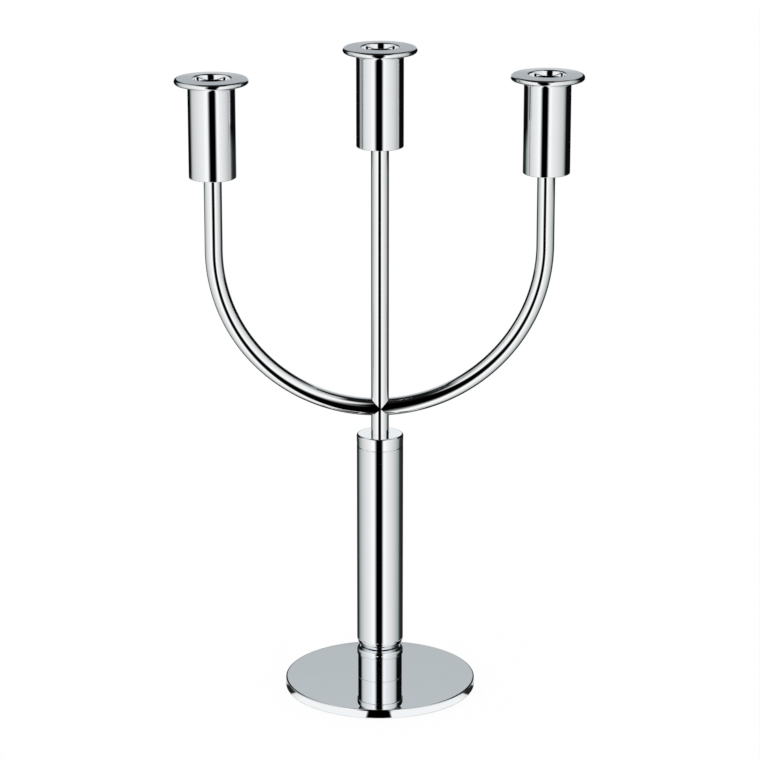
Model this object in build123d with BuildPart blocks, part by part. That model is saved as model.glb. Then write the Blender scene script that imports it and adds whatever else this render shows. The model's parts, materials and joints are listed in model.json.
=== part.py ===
"""Three-arm candelabra in polished stainless steel.

A flat round base carries a short collar, a ring and a thick column, all clamped together
by one tie rod. A slim stem stands in the cap of the column. Two bent arms are coped to
the stem and brazed to it, and three turned candle cups are screwed to the tube ends.

Millimetres, +Z up, arms along X. The origin is the centre of the surface it stands on.
"""
import os

from build123d import *

os.makedirs("parts", exist_ok=True)

# Base disc and the pad under it
base_diameter = 120.0
base_thickness = 5.6
base_top_edge = 0.9
base_bottom_edge = 0.5
pad_land = 4.0
pad_recess = 1.0
pad_thickness = 1.5
pad_gap = 0.3

# Collar, ring, sleeve and cap of the column
column_diameter = 29.0
column_bore = 18.0
collar_diameter = 27.9
collar_height = 15.2
ring_height = 5.0
ring_edge = 2.2
ring_lower_edge = 0.6
sleeve_length = 133.6
sleeve_end_height = 6.4
sleeve_end_inset = 4.5
cap_height = 7.7
cap_flare = 0.2
cap_edge = 1.4
seam_chamfer = 0.3
collar_spigot = 10.0
cap_spigot = 14.0

# Tubes: the stem and the two arms
tube_diameter = 11.0
tube_wall = 1.0
arm_reach = 102.0
arm_height_above_cap = 17.1
outer_cup_rise = 45.8
centre_cup_above_arms = 165.7
stem_seat_depth = 2.0
cope_tip = 0.5

# Candle cups
cup_diameter = 29.0
cup_height = 61.6
cup_bottom_edge = 0.5
flange_diameter = 45.4
flange_thickness = 3.4
flange_rise = 0.5
flange_root = 2.6
candle_bore = 22.4
candle_depth = 28.0
mouth_edge = 1.1
mouth_taper_depth = 3.5
mouth_taper_width = 0.6
cup_web = 8.0
cup_cavity = 23.0
plug_height = 10.0

# Screws, rod, stud and inserts
base_screw_size = 8.0
base_screw_head = 16.0
base_screw_sink = 0.2
base_screw_reach = 12.0
base_screw_key = 5.0
base_screw_key_depth = 2.2
tie_rod_size = 8.0
tie_rod_below = 16.2
tie_rod_above = 8.1
stud_size = 6.0
stud_below = 7.6
stud_above = 10.4
insert_length = 13.0
cup_screw_size = 5.0
cup_screw_reach = 10.0
cup_screw_head = 9.2
cup_screw_head_height = 2.8
cup_screw_key = 3.0
cup_screw_key_depth = 1.6
washer_diameter = 10.0
washer_thickness = 1.0
screw_sink_depth = 4.2
end_chamfer = 0.6
drill_end = 1.0

# Clearances, each measured on the radius
thread_clearance = 0.05
slide_clearance = 0.1
screw_clearance = 0.2

# Heights, counted up from the surface it stands on
base_bottom = pad_thickness - pad_recess
base_top = base_bottom + base_thickness
collar_top = base_top + collar_height
ring_top = collar_top + ring_height
sleeve_top = ring_top + sleeve_length
cap_top = sleeve_top + cap_height
arm_axis = cap_top + arm_height_above_cap
outer_cup_bottom = arm_axis + arm_reach + outer_cup_rise
centre_cup_bottom = arm_axis + centre_cup_above_arms

# Radii that several pieces share
column_radius = column_diameter / 2
bore_radius = column_bore / 2
spigot_radius = bore_radius - slide_clearance
tube_radius = tube_diameter / 2
tube_bore_radius = tube_radius - tube_wall
insert_radius = tube_bore_radius - thread_clearance
cup_radius = cup_diameter / 2

# Where the tube ends inside a cup, above the bottom of that cup
tube_stop = cup_height - candle_depth - cup_web

cup_places = {
    "left": (-arm_reach, outer_cup_bottom),
    "centre": (0.0, centre_cup_bottom),
    "right": (arm_reach, outer_cup_bottom),
}


def turning_plane(x, z):
    """The plane of a turned profile: its x is the radius and its y the height above z."""
    return Plane(origin=(x, 0, z), x_dir=(1, 0, 0), z_dir=(0, -1, 0))


def turning_axis(x, z):
    """The upright axis that a turned profile goes round."""
    return Axis((x, 0, z), (0, 0, 1))


def save(piece, name):
    """Labels a finished piece and writes its file."""
    piece.part.label = name
    export_step(piece.part, f"parts/{name}.step")


# Base disc: a recess for the pad below, a countersunk hole in the middle
pad_recess_top = base_bottom + pad_recess
countersink_radius = base_screw_head / 2 + base_screw_sink
base_hole_radius = base_screw_size / 2 + screw_clearance

with BuildPart() as base_disc:
    with BuildSketch(Plane.XY.offset(base_bottom)):
        Circle(base_diameter / 2)
    extrude(amount=base_thickness)
    fillet(base_disc.edges().sort_by(Axis.Z)[-1], base_top_edge)
    fillet(base_disc.edges().sort_by(Axis.Z)[0], base_bottom_edge)
    with BuildSketch(Plane.XY.offset(base_bottom)):
        Circle(base_diameter / 2 - pad_land)
    extrude(amount=pad_recess, mode=Mode.SUBTRACT)
    with Locations(Plane(origin=(0, 0, pad_recess_top), z_dir=(0, 0, -1))):
        CounterSinkHole(base_hole_radius, countersink_radius, counter_sink_angle=90)
save(base_disc, "base_disc")

with BuildPart() as base_pad:
    with BuildSketch():
        Circle(base_diameter / 2 - pad_land - pad_gap)
    extrude(amount=pad_thickness)
save(base_pad, "base_pad")

# Countersunk screw that holds the disc up against the collar
head_bottom = pad_recess_top + base_screw_sink
head_height = (base_screw_head - base_screw_size) / 2
base_shank_radius = base_screw_size / 2 - thread_clearance
base_screw_top = base_top + base_screw_reach

with BuildPart() as base_screw:
    with BuildSketch(turning_plane(0, 0)):
        with BuildLine():
            Polyline(
                (0, head_bottom),
                (base_screw_head / 2, head_bottom),
                (base_shank_radius, head_bottom + head_height + thread_clearance),
                (base_shank_radius, base_screw_top - end_chamfer),
                (base_shank_radius - end_chamfer, base_screw_top),
                (0, base_screw_top),
                close=True,
            )
        make_face()
    revolve(axis=Axis.Z)
    with BuildSketch(Plane.XY.offset(head_bottom)):
        RegularPolygon(base_screw_key / 2, 6, major_radius=False)
    extrude(amount=base_screw_key_depth, mode=Mode.SUBTRACT)
save(base_screw, "base_screw")

# Collar: plain cylinder on the disc, with a spigot that lines up ring and sleeve
with BuildPart() as foot_collar:
    with BuildSketch(Plane.XY.offset(base_top)):
        Circle(collar_diameter / 2)
    extrude(amount=collar_height)
    chamfer(foot_collar.edges().sort_by(Axis.Z)[0], seam_chamfer)
    with BuildSketch(Plane.XY.offset(collar_top)):
        Circle(spigot_radius)
    extrude(amount=ring_height + collar_spigot)
    chamfer(foot_collar.edges().sort_by(Axis.Z)[-1], end_chamfer)
    with Locations(foot_collar.faces().sort_by(Axis.Z)[-1]):
        Hole(tie_rod_size / 2)
save(foot_collar, "foot_collar")

# Ring with a rounded rim, between the collar and the sleeve
with BuildPart() as foot_ring:
    with BuildSketch(Plane.XY.offset(collar_top)):
        Circle(column_radius)
    extrude(amount=ring_height)
    fillet(foot_ring.edges().sort_by(Axis.Z)[-1], ring_edge)
    fillet(foot_ring.edges().sort_by(Axis.Z)[0], ring_lower_edge)
    with Locations(foot_ring.faces().sort_by(Axis.Z)[-1]):
        Hole(bore_radius)
save(foot_ring, "foot_ring")

# Sleeve: a heavy tube whose lower end is turned in to a rounded shoulder
with BuildPart() as column_sleeve:
    with BuildSketch(turning_plane(0, ring_top)):
        with BuildLine():
            shoulder = TangentArc(
                (column_radius, sleeve_end_height),
                (column_radius - sleeve_end_inset, 0),
                tangent=(0, -1),
            )
            Polyline(
                shoulder @ 1,
                (bore_radius, 0),
                (bore_radius, sleeve_length),
                (column_radius - seam_chamfer, sleeve_length),
                (column_radius, sleeve_length - seam_chamfer),
                shoulder @ 0,
            )
        make_face()
    revolve(axis=Axis.Z)
save(column_sleeve, "column_sleeve")

# Cap: screwed down on the tie rod, with a seat and a stud for the stem on top
cap_bottom = sleeve_top - cap_spigot
stem_bottom = cap_top - stem_seat_depth
tie_rod_bottom = ring_top + collar_spigot - tie_rod_below
tie_rod_top = cap_bottom + tie_rod_above
stud_bottom = stem_bottom - stud_below

with BuildPart() as column_cap:
    with BuildSketch(turning_plane(0, 0)):
        with BuildLine():
            Polyline(
                (0, cap_bottom),
                (spigot_radius - end_chamfer, cap_bottom),
                (spigot_radius, cap_bottom + end_chamfer),
                (spigot_radius, sleeve_top),
                (column_radius - seam_chamfer, sleeve_top),
                (column_radius, sleeve_top + seam_chamfer),
                (column_radius + cap_flare, cap_top),
                (0, cap_top),
                close=True,
            )
        make_face()
    revolve(axis=Axis.Z)
    fillet(column_cap.edges().sort_by(Axis.Z)[-1], cap_edge)
    with BuildSketch(Plane.XY.offset(cap_bottom)):
        Circle(tie_rod_size / 2)
    extrude(amount=tie_rod_above + drill_end, mode=Mode.SUBTRACT)
    with Locations((0, 0, cap_top)):
        CounterBoreHole(
            stud_size / 2,
            tube_radius + slide_clearance,
            stem_seat_depth,
            depth=stem_seat_depth + stud_below,
        )
save(column_cap, "column_cap")


def threaded_rod(size, bottom, top):
    """A headless screw on the middle axis, chamfered at both ends."""
    radius = size / 2 - thread_clearance
    with BuildPart() as rod:
        with BuildSketch(Plane.XY.offset(bottom)):
            Circle(radius)
        extrude(amount=top - bottom)
        chamfer(rod.edges().filter_by(GeomType.CIRCLE), end_chamfer)
    return rod


tie_rod = threaded_rod(tie_rod_size, tie_rod_bottom, tie_rod_top)
save(tie_rod, "tie_rod")
stem_stud = threaded_rod(stud_size, stud_bottom, stem_bottom + stud_above)
save(stem_stud, "stem_stud")


def tube_insert(x, bottom, thread_size):
    """A threaded bush brazed inside the end of a tube."""
    with BuildPart() as insert:
        with BuildSketch(Plane(origin=(x, 0, bottom))):
            Circle(insert_radius)
            Circle(thread_size / 2, mode=Mode.SUBTRACT)
        extrude(amount=insert_length)
    return insert


stem_foot_insert = tube_insert(0, stem_bottom, stud_size)
save(stem_foot_insert, "stem_foot_insert")

# Stem: one straight tube from the seat in the cap to the middle cup
with BuildPart() as centre_stem:
    with BuildSketch(Plane.XY.offset(stem_bottom)):
        Circle(tube_radius)
        Circle(tube_bore_radius, mode=Mode.SUBTRACT)
    extrude(amount=centre_cup_bottom + tube_stop - stem_bottom)
save(centre_stem, "centre_stem")

# Arms: a quarter bend from the stem, a straight run up to the cup, coped to the stem.
# Both bends turn about one point of the stem, so the two arms make a half circle.
bend_centre = arm_axis + arm_reach
arm_run = outer_cup_rise + tube_stop

with BuildPart() as left_arm:
    with BuildSketch(Plane(origin=(0, 0, arm_axis), z_dir=(-1, 0, 0))):
        Circle(tube_radius)
        Circle(tube_bore_radius, mode=Mode.SUBTRACT)
    revolve(axis=Axis((0, 0, bend_centre), (0, 1, 0)), revolution_arc=90)
    extrude(left_arm.faces().sort_by(Axis.Z)[-1], amount=arm_run)
    with Locations((0, 0, arm_axis)):
        Cylinder(tube_radius, 4 * tube_diameter, mode=Mode.SUBTRACT)
    split(bisect_by=Plane.YZ.offset(-cope_tip), keep=Keep.BOTTOM)
save(left_arm, "left_arm")

with BuildPart() as right_arm:
    mirror(left_arm.part, about=Plane.YZ)
save(right_arm, "right_arm")


def candle_cup(x, z):
    """The turned cup: flange with a rounded rim, candle bore above, hollow below.

    The mouth is turned out a little, so that a candle finds its way in.

    The screw head and its washer are sunk in the floor, so that a candle stands flat on it.
    """
    rim_radius = flange_diameter / 2
    rim_top = cup_height - flange_rise
    rim_bottom = rim_top - flange_thickness
    mouth_radius = candle_bore / 2
    with BuildPart() as cup:
        with BuildSketch(turning_plane(x, z)) as profile:
            with BuildLine():
                outer_wall = Line((cup_radius, 0), (cup_radius, rim_bottom))
                underside = Line(outer_wall @ 1, (rim_radius - flange_thickness / 2, rim_bottom))
                rim = ThreePointArc(
                    underside @ 1,
                    (rim_radius, rim_bottom + flange_thickness / 2),
                    (rim_radius - flange_thickness / 2, rim_top),
                )
                Polyline(
                    rim @ 1,
                    (mouth_radius + mouth_taper_width, cup_height),
                    (mouth_radius, cup_height - mouth_taper_depth),
                    (mouth_radius, cup_height - candle_depth),
                    (0, cup_height - candle_depth),
                    (0, tube_stop),
                    (cup_cavity / 2, tube_stop),
                    (cup_cavity / 2, 0),
                    outer_wall @ 0,
                )
            make_face()
            for corner, radius in (
                ((cup_radius, rim_bottom), flange_root),
                ((mouth_radius + mouth_taper_width, cup_height), mouth_edge),
                ((cup_radius, 0), cup_bottom_edge),
            ):
                fillet(profile.vertices().sort_by_distance(corner)[0], radius)
        revolve(axis=turning_axis(x, z))
        with Locations((x, 0, z + cup_height - candle_depth)):
            CounterBoreHole(
                cup_screw_size / 2 + screw_clearance,
                washer_diameter / 2 + screw_clearance,
                screw_sink_depth,
                depth=cup_web,
            )
    return cup


def cup_plug(x, z):
    """The flat plug that closes the cup from below and guides the tube."""
    with BuildPart() as plug:
        with BuildSketch(Plane(origin=(x, 0, z))):
            Circle(cup_cavity / 2 - thread_clearance)
            Circle(tube_radius + slide_clearance, mode=Mode.SUBTRACT)
        extrude(amount=plug_height)
    return plug


def cup_washer(x, z):
    """The washer under the screw head, at the bottom of the sunk hole."""
    with BuildPart() as washer:
        with BuildSketch(Plane(origin=(x, 0, z + cup_height - candle_depth - screw_sink_depth))):
            Circle(washer_diameter / 2)
            Circle(cup_screw_size / 2 + screw_clearance, mode=Mode.SUBTRACT)
        extrude(amount=washer_thickness)
    return washer


def cup_screw(x, z):
    """The screw that draws the cup down on its tube, with a hexagon key hole."""
    head_seat = z + cup_height - candle_depth - screw_sink_depth + washer_thickness
    shank_bottom = z + tube_stop - cup_screw_reach
    with BuildPart() as screw:
        with BuildSketch(Plane(origin=(x, 0, shank_bottom))):
            Circle(cup_screw_size / 2 - thread_clearance)
        extrude(amount=head_seat - shank_bottom)
        chamfer(screw.edges().sort_by(Axis.Z)[0], end_chamfer)
        with BuildSketch(Plane(origin=(x, 0, head_seat))):
            Circle(cup_screw_head / 2)
        extrude(amount=cup_screw_head_height)
        fillet(screw.edges().sort_by(Axis.Z)[-1], end_chamfer)
        with BuildSketch(Plane(origin=(x, 0, head_seat + cup_screw_head_height))):
            RegularPolygon(cup_screw_key / 2, 6, major_radius=False)
        extrude(amount=-cup_screw_key_depth, mode=Mode.SUBTRACT)
    return screw


for side, (x, z) in cup_places.items():
    save(candle_cup(x, z), f"{side}_cup")
    save(cup_plug(x, z), f"{side}_cup_plug")
    save(tube_insert(x, z + tube_stop - insert_length, cup_screw_size), f"{side}_tube_insert")
    save(cup_washer(x, z), f"{side}_cup_washer")
    save(cup_screw(x, z), f"{side}_cup_screw")

print("overall height", round(centre_cup_bottom + cup_height, 1))
print("overall width", round(2 * arm_reach + flange_diameter, 1))
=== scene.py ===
"""Looks of the three-arm candelabra: mirror polished steel on a pale table. Metres, +Z up."""
import json
import math

import bmesh
import bpy
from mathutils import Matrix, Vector


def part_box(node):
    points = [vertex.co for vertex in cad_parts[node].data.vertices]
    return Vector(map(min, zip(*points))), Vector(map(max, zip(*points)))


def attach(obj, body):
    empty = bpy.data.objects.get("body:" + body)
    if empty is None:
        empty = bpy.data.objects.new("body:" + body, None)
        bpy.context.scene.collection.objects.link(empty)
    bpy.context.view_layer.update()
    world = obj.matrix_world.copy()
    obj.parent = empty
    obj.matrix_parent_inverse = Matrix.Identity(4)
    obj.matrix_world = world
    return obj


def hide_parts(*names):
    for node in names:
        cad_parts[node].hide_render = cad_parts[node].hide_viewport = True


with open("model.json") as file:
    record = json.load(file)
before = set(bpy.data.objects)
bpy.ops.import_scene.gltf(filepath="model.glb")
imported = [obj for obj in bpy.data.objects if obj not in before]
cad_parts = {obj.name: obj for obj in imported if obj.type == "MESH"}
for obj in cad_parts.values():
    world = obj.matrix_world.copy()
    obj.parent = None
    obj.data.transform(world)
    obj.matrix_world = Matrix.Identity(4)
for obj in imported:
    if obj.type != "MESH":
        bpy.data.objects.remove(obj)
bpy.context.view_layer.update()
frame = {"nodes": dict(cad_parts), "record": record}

MM = 0.001

# Turned pieces get this many faces around, and this many on each rounded edge;
# a long straight run gets a support this close to each of its ends
FACES_AROUND = 192
EDGE_STEPS = 8
SUPPORT = 0.15 * MM

# Camera of the photograph: place in metres, pitch and turn in degrees, lens and sensor in mm
CAMERA_PLACE = (-0.1182, -1.9159, 0.7682)
CAMERA_PITCH = 16.43
CAMERA_TURN = 3.53
CAMERA_LENS = 152.5
SENSOR_WIDTH = 36.0


def corner_arc(before, corner, after, radius, steps=EDGE_STEPS):
    """The points of a rounded corner between two straight runs of a profile."""
    to_before = (before - corner).normalized()
    to_after = (after - corner).normalized()
    half = to_before.angle(to_after) / 2
    reach = radius / math.tan(half)
    start = corner + to_before * reach
    end = corner + to_after * reach
    centre = corner + (to_before + to_after).normalized() * (radius / math.sin(half))
    points = []
    for i in range(steps + 1):
        t = i / steps
        turn = (start - centre).angle_signed(end - centre)
        arm = start - centre
        angle = -turn * t
        points.append(centre + Vector((
            arm.x * math.cos(angle) - arm.y * math.sin(angle),
            arm.x * math.sin(angle) + arm.y * math.cos(angle),
        )))
    return points


def profile(corners, closed=True):
    """Turns corners (radius, height, edge radius) into the points of a turned profile."""
    count = len(corners)
    points = []
    for i, (r, z, edge) in enumerate(corners):
        here = Vector((r, z))
        if edge <= 0 or (not closed and i in (0, count - 1)):
            points.append(here)
            continue
        before = Vector(corners[i - 1][:2])
        after = Vector(corners[(i + 1) % count][:2])
        points.extend(corner_arc(before, here, after, edge))
    return with_supports(points, closed)


def with_supports(points, closed):
    """Adds a point close to each end of a long run, so that flat faces reflect flat."""
    result = []
    count = len(points)
    for i, here in enumerate(points):
        result.append(here)
        if i == count - 1 and not closed:
            break
        after = points[(i + 1) % count]
        run = (after - here).length
        if run > 6 * SUPPORT:
            along = (after - here).normalized() * SUPPORT
            result.append(here + along)
            result.append(after - along)
    return result


def turned(name, points, x=0.0, closed=True, faces=FACES_AROUND):
    """A piece turned round the upright axis at x, from profile points (radius, height)."""
    bm = bmesh.new()
    rings = []
    for point in points:
        if point.x < 1e-6:
            rings.append([bm.verts.new((x, 0, point.y))] * faces)
            continue
        ring = []
        for k in range(faces):
            a = 2 * math.pi * k / faces
            ring.append(bm.verts.new((x + point.x * math.cos(a), point.x * math.sin(a), point.y)))
        rings.append(ring)
    pairs = list(zip(rings, rings[1:] + rings[:1] if closed else rings[1:]))
    for lower, upper in pairs:
        for k in range(faces):
            n = (k + 1) % faces
            corners = []
            for vert in (lower[k], lower[n], upper[n], upper[k]):
                if vert not in corners:
                    corners.append(vert)
            if len(corners) > 2:
                bm.faces.new(corners)
    return finished_mesh(name, bm)


def finished_mesh(name, bm, sharp=32.0):
    """Makes an object of a bmesh, smooth except at its real edges."""
    bmesh.ops.recalc_face_normals(bm, faces=bm.faces)
    mesh = bpy.data.meshes.new(name)
    bm.to_mesh(mesh)
    bm.free()
    mesh.shade_smooth()
    mesh.set_sharp_from_angle(angle=math.radians(sharp))
    obj = bpy.data.objects.new(name, mesh)
    bpy.context.collection.objects.link(obj)
    return obj


def node_sizes(node):
    """Lowest point, highest point, middle and outer radius of a turned CAD piece."""
    low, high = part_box(node)
    return low.z, high.z, (low.x + high.x) / 2, (high.y - low.y) / 2


def stand_in(obj, node):
    """Puts a finely made piece in the place of its CAD node."""
    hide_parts(node)
    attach(obj, "root")
    return obj


# Sizes of the edges and hidden faces, as in the part's drawing
BASE_TOP_EDGE = 0.9 * MM
BASE_LOWER_EDGE = 0.5 * MM
PAD_RECESS = 1.0 * MM
PAD_LAND = 4.0 * MM
SEAM_EDGE = 0.3 * MM
COLUMN_BORE = 9.0 * MM
SPIGOT = 8.9 * MM
COLLAR_RISE = 15.2 * MM
RING_EDGE = 2.2 * MM
RING_LOWER_EDGE = 0.6 * MM
SHOULDER_RISE = 6.4 * MM
SHOULDER_INSET = 4.5 * MM
CAP_RISE = 7.7 * MM
CAP_FLARE = 0.2 * MM
CAP_EDGE = 1.4 * MM
TUBE_RADIUS = 5.5 * MM
TUBE_BORE = 4.5 * MM
SEAT_RADIUS = 5.6 * MM
SEAT_DEPTH = 2.0 * MM
CUP_RADIUS = 14.5 * MM
CUP_LOWER_EDGE = 0.5 * MM
FLANGE_THICKNESS = 3.4 * MM
FLANGE_RISE = 0.5 * MM
FLANGE_ROOT = 2.6 * MM
CUP_HEIGHT = 61.59 * MM
CANDLE_RADIUS = 11.2 * MM
CANDLE_DEPTH = 28.0 * MM
MOUTH_EDGE = 1.1 * MM
MOUTH_TAPER_DEPTH = 3.5 * MM
MOUTH_TAPER_WIDTH = 0.6 * MM
CAVITY_RADIUS = 11.5 * MM
SCREW_SINK_RADIUS = 5.2 * MM
SCREW_SINK_DEPTH = 4.2 * MM
CUP_WEB = 8.0 * MM
ROD_HOLE = 4.0 * MM
STUD_HOLE = 3.0 * MM
SCREW_HOLE = 2.7 * MM
SPIGOT_DEPTH = 3.0 * MM
FINE_EDGE = 0.1 * MM
BORE_FLOOR_EDGE = 0.2 * MM
TAPER_END_EDGE = 0.5 * MM

# Edge of the flange's rim: a hair under half its thickness, so that two roundings fit on it
RIM_EDGE = FLANGE_THICKNESS / 2 * 0.999

# Steps of the sleeve's shoulder, and of a bent tube around and along its bend
SHOULDER_STEPS = 24
TUBE_FACES = 96
BEND_STEPS = 90

# Least part of the full cope, so that the tube's end never closes to a point
LEAST_COPE = 0.004


def base_disc():
    """Flat round base with a softly rounded top edge and a recess below for the pad."""
    low, high, _, radius = node_sizes("base_disc")
    land = radius - PAD_LAND
    corners = (
        (0.0, high, 0),
        (radius, high, BASE_TOP_EDGE),
        (radius, low, BASE_LOWER_EDGE),
        (land, low, 0),
        (land, low + PAD_RECESS, 0),
        (0.0, low + PAD_RECESS, 0),
    )
    obj = turned("base_disc_turned", profile(corners, closed=False), closed=False)
    return stand_in(obj, "base_disc")


def foot_collar():
    """Plain cylinder that stands on the base, with the spigot that holds ring and sleeve."""
    low, high, _, radius = node_sizes("foot_collar")
    corners = (
        (ROD_HOLE, low, 0),
        (radius, low, SEAM_EDGE),
        (radius, low + COLLAR_RISE, SEAM_EDGE / 2),
        (SPIGOT, low + COLLAR_RISE, 0),
        (SPIGOT, high, SEAM_EDGE),
        (ROD_HOLE, high, 0),
    )
    return stand_in(turned("foot_collar_turned", profile(corners)), "foot_collar")


def foot_ring():
    """Ring with a full, rounded rim between the collar and the sleeve."""
    low, high, _, radius = node_sizes("foot_ring")
    corners = (
        (COLUMN_BORE, low, 0),
        (radius, low, RING_LOWER_EDGE),
        (radius, high, RING_EDGE),
        (COLUMN_BORE, high, 0),
    )
    return stand_in(turned("foot_ring_turned", profile(corners)), "foot_ring")


def column_sleeve():
    """Long heavy sleeve whose lower end is turned in to a rounded shoulder."""
    low, high, _, radius = node_sizes("column_sleeve")
    sweep = (SHOULDER_RISE ** 2 + SHOULDER_INSET ** 2) / (2 * SHOULDER_INSET)
    middle = radius - sweep
    last = math.acos((radius - SHOULDER_INSET - middle) / sweep)
    shoulder = []
    for i in range(SHOULDER_STEPS + 1):
        a = last * (1 - i / SHOULDER_STEPS)
        shoulder.append(Vector((
            middle + sweep * math.cos(a),
            low + SHOULDER_RISE - sweep * math.sin(a),
        )))
    top = [
        Vector((radius, high - SEAM_EDGE)),
        Vector((radius - SEAM_EDGE, high)),
        Vector((COLUMN_BORE, high)),
        Vector((COLUMN_BORE, low)),
    ]
    obj = turned("column_sleeve_turned", with_supports(shoulder + top, True))
    return stand_in(obj, "column_sleeve")


def column_cap():
    """Cap above the fine seam, a little wider at the top, with the seat for the stem."""
    _, high, _, radius = node_sizes("column_cap")
    seam = high - CAP_RISE
    waist = radius - CAP_FLARE
    corners = (
        (SPIGOT, seam - SPIGOT_DEPTH, 0),
        (SPIGOT, seam, 0),
        (waist - SEAM_EDGE, seam, 0),
        (waist, seam + SEAM_EDGE, 0),
        (radius, high, CAP_EDGE),
        (SEAT_RADIUS, high, FINE_EDGE),
        (SEAT_RADIUS, high - SEAT_DEPTH, 0),
        (STUD_HOLE, high - SEAT_DEPTH, 0),
    )
    obj = turned("column_cap_turned", profile(corners, closed=False), closed=False)
    return stand_in(obj, "column_cap")


def centre_stem():
    """Slim straight tube from the seat in the cap up into the middle cup."""
    low, high, _, radius = node_sizes("centre_stem")
    corners = (
        (TUBE_BORE, low, 0),
        (radius, low, FINE_EDGE),
        (radius, high, FINE_EDGE),
        (TUBE_BORE, high, 0),
    )
    return stand_in(turned("centre_stem_tube", profile(corners)), "centre_stem")


def coped_end(wall, reach, f):
    """The turn at which the line f of a tube's wall meets the stem."""
    spread = reach + wall * math.cos(f)
    if wall == TUBE_BORE:
        across = min(abs(wall * math.sin(f)) / TUBE_RADIUS, 1.0)
        return math.asin(TUBE_RADIUS * math.sqrt(1 - across ** 2) / spread)
    return math.asin(TUBE_RADIUS * max(abs(math.cos(f)), LEAST_COPE) / spread)


def wall_rings(bm, wall, sign, reach, bend_height, top):
    """The rings of points along one wall of a bent tube, from the stem up to its top end."""
    lines = [2 * math.pi * k / TUBE_FACES for k in range(TUBE_FACES)]
    rings = []
    for i in range(BEND_STEPS + 1):
        ring = []
        for f in lines:
            spread = reach + wall * math.cos(f)
            cope = coped_end(wall, reach, f)
            turn = cope + (math.pi / 2 - cope) * i / BEND_STEPS
            ring.append(bm.verts.new((
                sign * spread * math.sin(turn),
                wall * math.sin(f),
                bend_height - spread * math.cos(turn),
            )))
        rings.append(ring)
    rings.append([bm.verts.new((
        sign * (reach + wall * math.cos(f)), wall * math.sin(f), top)) for f in lines])
    return rings


def bent_arm(side, sign):
    """One arm: a tube bent a quarter turn, coped to the stem, then straight into its cup."""
    low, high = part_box(f"{side}_arm")
    reach = max(abs(low.x), abs(high.x)) - TUBE_RADIUS
    bend_height = low.z + TUBE_RADIUS + reach
    bm = bmesh.new()
    outside = wall_rings(bm, TUBE_RADIUS, sign, reach, bend_height, high.z)
    inside = wall_rings(bm, TUBE_BORE, sign, reach, bend_height, high.z)
    rings = outside + inside[::-1]
    for lower, upper in zip(rings, rings[1:] + rings[:1]):
        for k in range(TUBE_FACES):
            n = (k + 1) % TUBE_FACES
            bm.faces.new((lower[k], lower[n], upper[n], upper[k]))
    obj = finished_mesh(f"{side}_arm_tube", bm, sharp=40.0)
    return stand_in(obj, f"{side}_arm")


def candle_cup(side):
    """Turned cup: thin wall, flange with a round rim, and the bore for the candle."""
    low, _, x, rim = node_sizes(f"{side}_cup")
    top = low + CUP_HEIGHT
    rim_top = top - FLANGE_RISE
    rim_low = rim_top - FLANGE_THICKNESS
    floor = top - CANDLE_DEPTH
    web = floor - CUP_WEB
    corners = (
        (CAVITY_RADIUS, low, 0),
        (CUP_RADIUS, low, CUP_LOWER_EDGE),
        (CUP_RADIUS, rim_low, FLANGE_ROOT),
        (rim, rim_low, RIM_EDGE),
        (rim, rim_top, RIM_EDGE),
        (CANDLE_RADIUS + MOUTH_TAPER_WIDTH, top, MOUTH_EDGE),
        (CANDLE_RADIUS, top - MOUTH_TAPER_DEPTH, TAPER_END_EDGE),
        (CANDLE_RADIUS, floor, BORE_FLOOR_EDGE),
        (SCREW_SINK_RADIUS, floor, FINE_EDGE),
        (SCREW_SINK_RADIUS, floor - SCREW_SINK_DEPTH, 0),
        (SCREW_HOLE, floor - SCREW_SINK_DEPTH, 0),
        (SCREW_HOLE, web, 0),
        (CAVITY_RADIUS, web, 0),
    )
    obj = turned(f"{side}_cup_turned", profile(corners), x=x)
    return stand_in(obj, f"{side}_cup")


def cup_plug(side):
    """Flat plug that closes the cup round the tube."""
    low, high, x, radius = node_sizes(f"{side}_cup_plug")
    corners = (
        (SEAT_RADIUS, low, FINE_EDGE),
        (radius, low, FINE_EDGE),
        (radius, high, 0),
        (SEAT_RADIUS, high, 0),
    )
    obj = turned(f"{side}_cup_plug_turned", profile(corners), x=x)
    return stand_in(obj, f"{side}_cup_plug")


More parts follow.
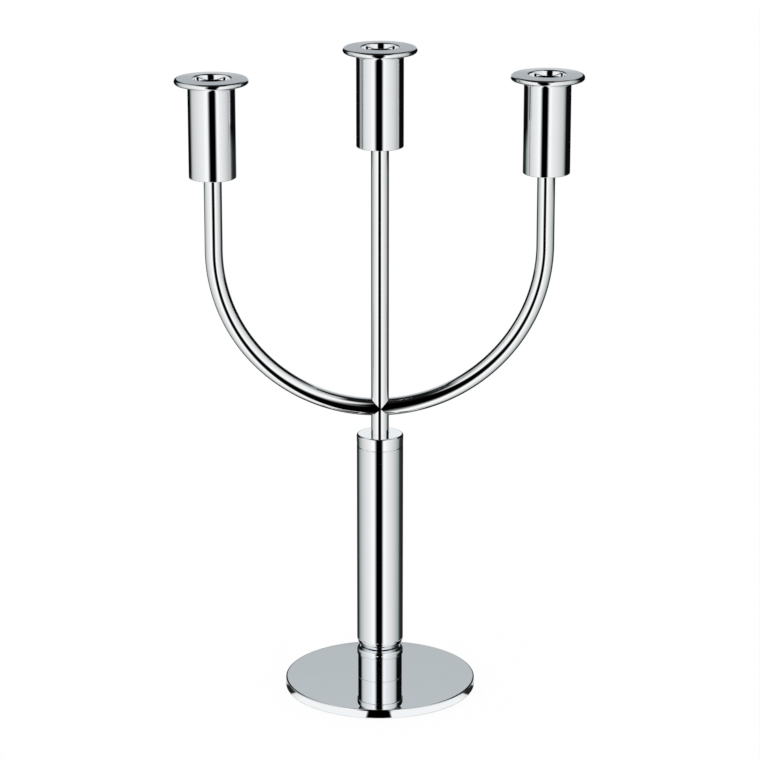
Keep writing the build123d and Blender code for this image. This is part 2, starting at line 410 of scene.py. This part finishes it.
class Sheet:
    """Short ways to place and join nodes in one node tree."""

    def __init__(self, tree):
        self.tree = tree

    def add(self, kind, **settings):
        """A new node; settings are its properties, or its inputs by name."""
        node = self.tree.nodes.new(kind)
        for key, value in settings.items():
            if hasattr(node, key):
                setattr(node, key, value)
            else:
                node.inputs[key.replace("_", " ")].default_value = value
        return node

    def join(self, source, target):
        """A link from an output to an input."""
        self.tree.links.new(source, target)

    def feed(self, value, target):
        """Joins a socket to an input, or sets the input to a plain value."""
        if isinstance(value, bpy.types.NodeSocket):
            self.join(value, target)
        else:
            target.default_value = value

    def math(self, operation, first, second=None, clamp=False):
        """A Math node on sockets or numbers, given back as its output."""
        node = self.add("ShaderNodeMath", operation=operation, use_clamp=clamp)
        self.feed(first, node.inputs[0])
        if second is not None:
            self.feed(second, node.inputs[1])
        return node.outputs[0]

    def mix(self, factor, first, second, blend_type="MIX"):
        """A colour Mix node on sockets or values, given back as its output."""
        node = self.add("ShaderNodeMix", data_type="RGBA", blend_type=blend_type)
        for place, value in ((0, factor), (6, first), (7, second)):
            self.feed(value, node.inputs[place])
        return node.outputs[2]

    def noise(self, place, **settings):
        """A noise texture at a place, given back as its value."""
        node = self.add("ShaderNodeTexNoise")
        self.join(place, node.inputs["Vector"])
        for key, value in settings.items():
            self.feed(value, node.inputs[key])
        return node.outputs[0]

    def turn_from_front(self, east, north):
        """The turn about the upright axis, nought towards the viewer."""
        return self.math("ARCTAN2", east, self.math("MULTIPLY", north, -1.0))

    def ramp(self, value, stops):
        """A ramp with stops of (place, brightness) or (place, colour)."""
        node = self.add("ShaderNodeValToRGB")
        band = node.color_ramp
        band.elements.remove(band.elements[1])
        for i, (place, level) in enumerate(stops):
            element = band.elements.new(place) if i else band.elements[0]
            element.position = place
            element.color = (*level, 1) if isinstance(level, tuple) else (level, level, level, 1)
        self.join(value, node.inputs[0])
        return node.outputs[0]


def new_group(name, inputs, outputs):
    """An empty shader node group with named sockets."""
    tree = bpy.data.node_groups.new(name, "ShaderNodeTree")
    for label, kind, value in inputs:
        socket = tree.interface.new_socket(label, in_out="INPUT", socket_type=kind)
        if value is not None:
            socket.default_value = value
    for label, kind in outputs:
        tree.interface.new_socket(label, in_out="OUTPUT", socket_type=kind)
    sheet = Sheet(tree)
    return tree, sheet, sheet.add("NodeGroupInput"), sheet.add("NodeGroupOutput")


# Depth of the wheel's lines in the roughness, and how far wiping marks dull the colour
LINE_HAZE = 0.012
MARK_DULLNESS = 0.05
MARK_COLOUR = (0.8, 0.82, 0.84, 1)


def polish_group():
    """Buffed steel: fine lines left by the wheel, a slow waviness and wiping marks."""
    tree, s, inside, out = new_group(
        "buffed_surface",
        (
            ("Colour", "NodeSocketColor", (0.86, 0.87, 0.88, 1)),
            ("Haze", "NodeSocketFloat", 0.018),
            ("Line Stretch", "NodeSocketVector", (1.0, 1.0, 30.0)),
            ("Line Size", "NodeSocketFloat", 60.0),
            ("Wave Size", "NodeSocketFloat", 45.0),
            ("Wiping", "NodeSocketFloat", 0.02),
        ),
        (("Colour", "NodeSocketColor"), ("Roughness", "NodeSocketFloat"), ("Height", "NodeSocketFloat")),
    )
    place = s.add("ShaderNodeTexCoord").outputs["Object"]
    stretched = s.add("ShaderNodeVectorMath", operation="MULTIPLY")
    s.join(place, stretched.inputs[0])
    s.join(inside.outputs["Line Stretch"], stretched.inputs[1])
    lines = s.noise(stretched.outputs[0], Scale=inside.outputs["Line Size"], Detail=3.0, Roughness=0.6)
    wave = s.noise(place, Scale=inside.outputs["Wave Size"], Detail=1.0, Roughness=0.4)
    wiped = s.noise(place, Scale=38.0, Detail=4.0, Roughness=0.55, Distortion=0.8)
    marks = s.ramp(wiped, ((0.48, 0.0), (0.68, 1.0)))
    smear = s.math("MULTIPLY", marks, inside.outputs["Wiping"])
    fine = s.math("MULTIPLY", s.math("SUBTRACT", lines, 0.5), LINE_HAZE)
    rough = s.math("ADD", s.math("ADD", inside.outputs["Haze"], smear), fine, clamp=True)
    dull = s.mix(s.math("MULTIPLY", marks, MARK_DULLNESS), inside.outputs["Colour"], MARK_COLOUR, "MULTIPLY")
    s.join(dull, out.inputs["Colour"])
    s.join(rough, out.inputs["Roughness"])
    s.join(wave, out.inputs["Height"])
    return tree


POLISH = polish_group()

# Colours of the polished steel: turned pieces, and the brighter cap and tubes
STEEL = (0.93, 0.95, 0.968, 1)
BRIGHT_STEEL = (0.98, 0.99, 1.0, 1)
PLUG_STEEL = (0.7, 0.71, 0.72, 1)
BUSH_STEEL = (0.55, 0.56, 0.57, 1)
ZINC = (0.62, 0.63, 0.65, 1)

# Lines that go round a turned piece, and an even grain
ROUND_LINES = (1.0, 1.0, 30.0)
EVEN_GRAIN = (1.0, 1.0, 1.0)


def blank_material(name):
    """A material with an empty node sheet and its output node."""
    material = bpy.data.materials.new(name)
    material.use_nodes = True
    material.node_tree.nodes.clear()
    s = Sheet(material.node_tree)
    return material, s, s.add("ShaderNodeOutputMaterial")


def new_material(name):
    """A material with a Principled shader at its end."""
    material, s, out = blank_material(name)
    shader = s.add("ShaderNodeBsdfPrincipled")
    s.join(shader.outputs[0], out.inputs[0])
    return material, s, shader


def relief_of(s, height, shader, strength, depth):
    """Fine relief of a height, through a Bump node into the shader."""
    bump = s.add("ShaderNodeBump", Strength=strength, Distance=depth * MM)
    s.join(height, bump.inputs["Height"])
    s.join(bump.outputs[0], shader.inputs["Normal"])


def polished_steel(name, colour=STEEL, haze=0.02, stretch=ROUND_LINES, lines=60.0,
                   wave=45.0, wiping=0.02, relief=0.006):
    """Mirror polished stainless steel, buffed on the wheel."""
    material, s, shader = new_material(name)
    surface = s.add("ShaderNodeGroup", node_tree=POLISH)
    surface.inputs["Colour"].default_value = colour
    surface.inputs["Haze"].default_value = haze
    surface.inputs["Line Stretch"].default_value = stretch
    surface.inputs["Line Size"].default_value = lines
    surface.inputs["Wave Size"].default_value = wave
    surface.inputs["Wiping"].default_value = wiping
    s.join(surface.outputs["Colour"], shader.inputs["Base Color"])
    s.join(surface.outputs["Roughness"], shader.inputs["Roughness"])
    relief_of(s, surface.outputs["Height"], shader, 1.0, relief)
    shader.inputs["Metallic"].default_value = 1.0
    return material


def turned_steel(name, colour, haze, relief):
    """Plain turned or plated steel of the small inner pieces: soft grey with tool marks."""
    material, s, shader = new_material(name)
    place = s.add("ShaderNodeTexCoord").outputs["Object"]
    marks = s.noise(place, Scale=900.0, Detail=3.0, Roughness=0.6)
    cloud = s.noise(place, Scale=120.0, Detail=2.0)
    darker = tuple(c * 0.88 for c in colour[:3]) + (1,)
    s.join(s.mix(cloud, darker, colour), shader.inputs["Base Color"])
    rough = s.math("ADD", s.math("MULTIPLY", marks, 0.12), haze)
    s.join(rough, shader.inputs["Roughness"])
    relief_of(s, marks, shader, 0.6, relief)
    shader.inputs["Metallic"].default_value = 1.0
    return material


def pressed_felt():
    """Black felt under the base: short tangled fibres with a few pale ones."""
    material, s, shader = new_material("pressed_felt")
    place = s.add("ShaderNodeTexCoord").outputs["Object"]
    fibres = s.noise(place, Scale=2200.0, Detail=5.0, Roughness=0.7, Distortion=1.5)
    tone = s.ramp(fibres, ((0.35, 0.016), (0.6, 0.035), (0.78, 0.10)))
    s.join(tone, shader.inputs["Base Color"])
    relief_of(s, fibres, shader, 0.8, 0.2)
    shader.inputs["Roughness"].default_value = 0.95
    shader.inputs["Sheen Weight"].default_value = 0.4
    return material


def finish_of(obj, material):
    """Gives a piece or a CAD node its material."""
    if obj.material_slots:
        for place in obj.material_slots:
            place.material = material
    else:
        obj.data.materials.append(material)


# Finishes, each with its own grain; tubes and the flat base have no lines going round
finishes = {
    "base_steel": polished_steel(
        "base_mirror", haze=0.018, stretch=EVEN_GRAIN, lines=200.0, wave=18.0, wiping=0.03),
    "collar_steel": polished_steel("collar_mirror"),
    "ring_steel": polished_steel("ring_mirror"),
    "sleeve_steel": polished_steel("sleeve_mirror", haze=0.016, wave=30.0),
    "cap_steel": polished_steel("cap_mirror", colour=BRIGHT_STEEL),
    "tube_steel": polished_steel("tube_mirror", colour=BRIGHT_STEEL, stretch=EVEN_GRAIN, lines=300.0),
    "cup_steel": polished_steel("cup_mirror", haze=0.016, wave=40.0),
    "plug_steel": polished_steel("plug_mirror", colour=PLUG_STEEL, haze=0.12, lines=90.0),
    "insert_steel": turned_steel("turned_bush", BUSH_STEEL, 0.28, 0.02),
    "screw_steel": turned_steel("zinc_plate", ZINC, 0.22, 0.015),
    "pad_felt": pressed_felt(),
}

made = {
    "base_disc": base_disc(),
    "foot_collar": foot_collar(),
    "foot_ring": foot_ring(),
    "column_sleeve": column_sleeve(),
    "column_cap": column_cap(),
    "centre_stem": centre_stem(),
    "left_arm": bent_arm("left", -1),
    "right_arm": bent_arm("right", 1),
}
for side in ("left", "centre", "right"):
    made[f"{side}_cup"] = candle_cup(side)
    made[f"{side}_cup_plug"] = cup_plug(side)

slot_of = {row["node"]: row["material_slot"] for row in frame["record"]["subparts"]}
for node, obj in frame["nodes"].items():
    finish_of(made.get(node, obj), finishes[slot_of[node]])


# Stage: pale floor and white surroundings of a small product studio, with painted reflections that only
# mirror rays meet: graduated shades all round and a glowing ring round the foot
FLOOR_RADIUS = 6.0
FLOOR_GLOW = 0.92
WHITE = (1.0, 1.0, 1.0, 1.0)

# Painted reflection tent; its painted pattern is black in front, where the camera stood, and dark behind
TENT_RADIUS = 0.6
TENT_HEIGHT = 0.2
GAP_CENTRE = -6.0
SIDE_SKEW = 0.04
BELOW = (
    (11.5, 0.0), (15.5, 0.25), (18.0, 0.6), (22.0, 0.97), (31.0, 1.0), (36.0, 0.91), (50.0, 0.83),
    (73.0, 0.7), (92.0, 0.55), (107.0, 0.42), (115.0, 0.28), (122.0, 0.06), (136.0, 0.02), (168.0, 0.02),
    (176.0, 0.3), (180.0, 0.4))
LEVEL_WITH_CUPS = (
    (11.5, 0.0), (15.5, 0.25), (18.0, 0.6), (22.0, 0.97), (31.0, 1.0), (36.0, 0.9), (50.0, 0.84),
    (73.0, 0.72), (90.0, 0.6), (98.0, 0.44), (104.0, 0.18), (109.0, 0.004), (168.0, 0.003),
    (176.0, 0.3), (180.0, 0.4))
ABOVE = (
    (15.0, 0.0), (18.0, 0.3), (22.0, 0.95), (50.0, 0.88), (80.0, 0.72), (104.0, 0.5), (112.0, 0.15),
    (118.0, 0.005), (168.0, 0.005), (176.0, 0.3), (180.0, 0.5))
OVERHEAD = ((0.26, 0.5), (0.29, 0.01), (0.64, 0.01), (0.67, 0.5))

# Painted reflection: pale patch behind the set, which the flat tops mirror; its level by height is painted
# for the disc, then cap, then flanges
PATCH_MIDDLE = 0.035
PATCH_HALF_WIDTH = 0.085
PATCH_SPREAD = 0.35
PATCH_FADE = 0.012
PATCH = (
    (0.03, (0.495, 0.525, 0.54)), (0.08, (0.515, 0.545, 0.56)), (0.13, (0.85, 0.88, 0.9)),
    (0.2, (0.78, 0.81, 0.83)), (0.28, (0.46, 0.48, 0.5)), (0.42, (0.42, 0.44, 0.46)),
    (0.5, (0.01, 0.01, 0.01)))
# Painted green tint of the reflections at the sides, by turn from the front
PAINTED_GREEN_TINT = (
    (0.0, (1.0, 1.0, 1.0)), (0.5, (1.0, 1.0, 1.0)), (0.6, (0.88, 1.0, 0.98)),
    (0.8, (0.88, 1.0, 0.98)), (0.9, (1.0, 1.0, 1.0)))

# Painted reflection: a glowing ring round the foot, no lamp, which the rim of the base mirrors
RIM_GLOW_INNER = 60.5 * MM
RIM_GLOW_OUTER = 78.0 * MM
RIM_GLOW_LIFT = 0.1 * MM
RIM_GLOW_STEPS = 360
RIM_GLOW_GAP_CENTRE = -4.3
RIM_GLOW_LEVELS = (
    (7.6, 0.0), (8.2, 0.95), (60.0, 0.95), (70.0, 0.8), (72.0, 0.02), (86.0, 0.02),
    (88.0, 0.6), (104.0, 0.7))


def by_degrees(stops):
    """Ramp stops whose places are given in degrees of a half turn."""
    return [(angle / 180, level) for angle, level in stops]


def mirrors_only(obj):
    """Leaves a piece of the stage to mirror rays alone."""
    obj.visible_camera = False
    obj.visible_diffuse = False
    obj.visible_transmission = False
    obj.visible_shadow = False


def seen_directly(s):
    """1 for rays of the camera and for mirror or glass rays, 0 for the light itself."""
    path = s.add("ShaderNodeLightPath")
    first = s.math("MAXIMUM", path.outputs["Is Camera Ray"], path.outputs["Is Glossy Ray"])
    return s.math("MAXIMUM", first, path.outputs["Is Transmission Ray"])


def pale_floor():
    """White table top that keeps a faint shadow of the candelabra."""
    bm = bmesh.new()
    bmesh.ops.create_circle(bm, cap_ends=True, segments=96, radius=FLOOR_RADIUS)
    floor = finished_mesh("floor", bm)
    material, s, out = blank_material("table_white")
    matt = s.add("ShaderNodeBsdfDiffuse", Color=WHITE)
    glow = s.add("ShaderNodeEmission", Color=WHITE, Strength=1.0)
    blend = s.add("ShaderNodeMixShader")
    s.join(s.math("MULTIPLY", seen_directly(s), FLOOR_GLOW), blend.inputs[0])
    s.join(matt.outputs[0], blend.inputs[1])
    s.join(glow.outputs[0], blend.inputs[2])
    s.join(blend.outputs[0], out.inputs[0])
    floor.data.materials.append(material)
    floor.visible_glossy = False


def painted_patch_mask(s, east, north, up):
    """1 on the painted pale patch of reflection behind the set, which widens upwards, and 0 elsewhere."""
    aside = s.math("ABSOLUTE", s.math("SUBTRACT", east, PATCH_MIDDLE))
    widening = s.math("MULTIPLY", s.math("MAXIMUM", up, 0.0), PATCH_SPREAD)
    inside = s.math("SUBTRACT", s.math("ADD", widening, PATCH_HALF_WIDTH), aside)
    across = s.ramp(inside, ((0.0, 0.0), (PATCH_FADE, 1.0)))
    behind = s.math("GREATER_THAN", north, 0.0)
    above = s.ramp(up, ((0.0, 0.0), (0.02, 1.0)))
    return s.math("MULTIPLY", s.math("MULTIPLY", across, behind), above)


def painted_reflection_shade():
    """Painted reflection as a graduated black shade: how much of the white behind it comes through to mirror
    rays, by direction.
    """
    material, s, out = blank_material("painted_reflection_shade")
    split = s.add("ShaderNodeSeparateXYZ")
    s.join(s.add("ShaderNodeTexCoord").outputs["Object"], split.inputs[0])
    east, north, up = split.outputs
    level = s.math("SQRT", s.math("ADD", s.math("MULTIPLY", east, east), s.math("MULTIPLY", north, north)))
    off = s.math("SUBTRACT", s.turn_from_front(east, north), math.radians(GAP_CENTRE))
    wrapped = s.math("WRAP", off, math.pi)
    wrapped.node.inputs[2].default_value = -math.pi
    skew = s.math("MULTIPLY", s.math("DIVIDE", east, level), SIDE_SKEW)
    around = s.math("ADD", s.math("DIVIDE", s.math("ABSOLUTE", wrapped), math.pi), skew)
    rise = s.math("DIVIDE", s.math("ARCTAN2", up, level), math.pi / 2)
    over = s.math("ADD", s.math("DIVIDE", east, 2 * TENT_RADIUS), 0.5)
    pattern = s.ramp(around, by_degrees(BELOW))
    # Painted reflection levels by direction: below, level with the cups, above, overhead and the painted
    # pale patch
    for mask, layer in (
        (s.ramp(rise, ((0.0, 0.0), (0.02, 1.0))), s.ramp(around, by_degrees(LEVEL_WITH_CUPS))),
        (s.ramp(rise, ((0.16, 0.0), (0.24, 1.0))), s.ramp(around, by_degrees(ABOVE))),
        (s.ramp(rise, ((0.5, 0.0), (0.68, 1.0))), s.ramp(over, OVERHEAD)),
        (painted_patch_mask(s, east, north, up), s.ramp(up, PATCH)),
    ):
        pattern = s.mix(mask, pattern, layer)
    clear = s.add("ShaderNodeBsdfTransparent")
    # The painted reflection pattern times its painted green tint
    s.join(s.mix(1.0, pattern, s.ramp(around, PAINTED_GREEN_TINT), "MULTIPLY"), clear.inputs[0])
    s.join(clear.outputs[0], out.inputs[0])
    return material


def painted_reflection_tent():
    """A painted reflection all round the set, as a graduated shade; only mirror rays meet it, with white
    behind it.
    """
    bm = bmesh.new()
    bmesh.ops.create_uvsphere(bm, u_segments=128, v_segments=64, radius=TENT_RADIUS)
    tent = finished_mesh("painted_reflection_tent", bm)
    tent.location.z = TENT_HEIGHT
    tent.data.materials.append(painted_reflection_shade())
    mirrors_only(tent)


def painted_rim_reflection_material():
    """Glowing painted reflection, no lamp: white with a black gap in front and one at each side."""
    material, s, out = blank_material("painted_rim_reflection_glow")
    split = s.add("ShaderNodeSeparateXYZ")
    s.join(s.add("ShaderNodeTexCoord").outputs["Object"], split.inputs[0])
    turn = s.turn_from_front(split.outputs[0], split.outputs[1])
    off = s.math("ABSOLUTE", s.math("SUBTRACT", turn, math.radians(RIM_GLOW_GAP_CENTRE)))
    glow = s.add("ShaderNodeEmission", Strength=1.0)
    s.join(s.ramp(s.math("DIVIDE", off, math.pi), by_degrees(RIM_GLOW_LEVELS)), glow.inputs[0])
    s.join(glow.outputs[0], out.inputs[0])
    return material


def painted_rim_reflection():
    """Glowing ring of painted reflection lying close round the foot; only mirror rays meet it."""
    bm = bmesh.new()
    rings = []
    for radius in (RIM_GLOW_INNER, RIM_GLOW_OUTER):
        ring = []
        for k in range(RIM_GLOW_STEPS):
            a = 2 * math.pi * k / RIM_GLOW_STEPS
            ring.append(bm.verts.new((radius * math.sin(a), -radius * math.cos(a), RIM_GLOW_LIFT)))
        rings.append(ring)
    for k in range(RIM_GLOW_STEPS):
        n = (k + 1) % RIM_GLOW_STEPS
        bm.faces.new((rings[0][k], rings[1][k], rings[1][n], rings[0][n]))
    rim_glow = finished_mesh("painted_rim_reflection", bm)
    rim_glow.data.materials.append(painted_rim_reflection_material())
    mirrors_only(rim_glow)


def white_world():
    """Even white light from all sides at a plain level."""
    world = bpy.data.worlds.new("white_studio")
    bpy.context.scene.world = world
    world.use_nodes = True
    world.node_tree.nodes.clear()
    s = Sheet(world.node_tree)
    plain = s.add("ShaderNodeBackground", Color=WHITE, Strength=1.0)
    out = s.add("ShaderNodeOutputWorld")
    s.join(plain.outputs[0], out.inputs[0])


def photo_camera():
    """Camera at the photograph's place."""
    data = bpy.data.cameras.new("photo_camera")
    data.lens = CAMERA_LENS
    data.sensor_width = SENSOR_WIDTH
    camera = bpy.data.objects.new("photo_camera", data)
    camera.location = CAMERA_PLACE
    camera.rotation_euler = (math.radians(90 - CAMERA_PITCH), 0, math.radians(-CAMERA_TURN))
    bpy.context.collection.objects.link(camera)
    bpy.context.scene.camera = camera


pale_floor()
painted_reflection_tent()
painted_rim_reflection()
white_world()
photo_camera()
bpy.context.scene.view_settings.view_transform = "Standard"
